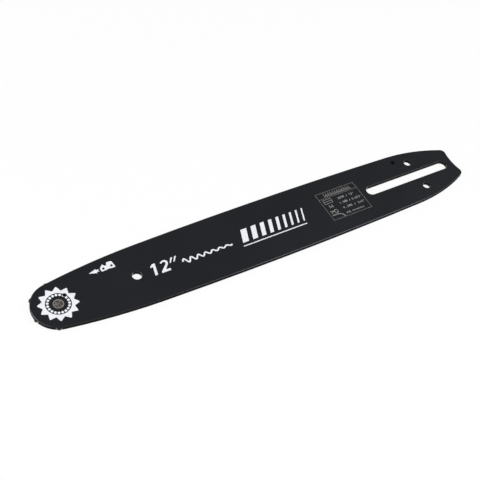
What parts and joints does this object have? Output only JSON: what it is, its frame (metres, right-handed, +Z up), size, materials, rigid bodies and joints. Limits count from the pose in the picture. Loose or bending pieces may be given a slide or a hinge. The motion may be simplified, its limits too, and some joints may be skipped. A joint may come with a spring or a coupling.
{
  "type": "chainsaw guide bar",
  "caption": "Laminated chainsaw guide bar with a sprocket nose, a chain groove round its edge, a stud slot, adjuster holes and oil inlets.",
  "frame": {"origin": "middle of the bar's length and width, on the surface that it lies on", "axes": "+X along the bar from the nose to the tail, +Y across it, +Z up through the printed face"},
  "size_m": [0.345, 0.0514, 0.0031],
  "materials": {
    "black_paint": "satin black paint on sheet steel",
    "core_steel": "black painted sheet steel, in shadow",
    "sprocket_steel": "oiled brown hardened steel",
    "bearing_steel": "greased bearing steel",
    "rivet_steel": "bare upset rivet steel",
    "white_ink": "screen-printed white ink on the upper face",
    "grey_ink": "thin screen-printed grey ink on the upper face"
  },
  "bodies": {
    "bar": {"side_plate_upper": "black_paint", "side_plate_lower": "black_paint", "core_plate": "core_steel", "bearing_race": "bearing_steel", "nose_rivet": "rivet_steel"},
    "sprocket": {"nose_sprocket": "sprocket_steel"},
    "roller_ring": {"roller_01": "bearing_steel", "roller_02": "bearing_steel", "roller_03": "bearing_steel", "roller_04": "bearing_steel", "roller_05": "bearing_steel", "roller_06": "bearing_steel", "roller_07": "bearing_steel", "roller_08": "bearing_steel", "roller_09": "bearing_steel", "roller_10": "bearing_steel", "roller_11": "bearing_steel", "roller_12": "bearing_steel", "roller_13": "bearing_steel", "roller_14": "bearing_steel", "roller_15": "bearing_steel", "roller_16": "bearing_steel", "roller_17": "bearing_steel", "roller_18": "bearing_steel", "roller_19": "bearing_steel", "roller_20": "bearing_steel"}
  },
  "joints": [
    {"name": "sprocket_spin", "type": "hinge", "parent": "bar", "child": "sprocket", "pos_m": [-0.15397, 0, 0.00155], "axis": [0, 0, 1], "continuous": true},
    {"name": "roller_ring_spin", "type": "hinge", "parent": "bar", "child": "roller_ring", "pos_m": [-0.15397, 0, 0.00155], "axis": [0, 0, 1], "continuous": true}
  ],
  "couplings": [
    {"joint": "roller_ring_spin", "follows": "sprocket_spin", "ratio": 0.5782}
  ]
}
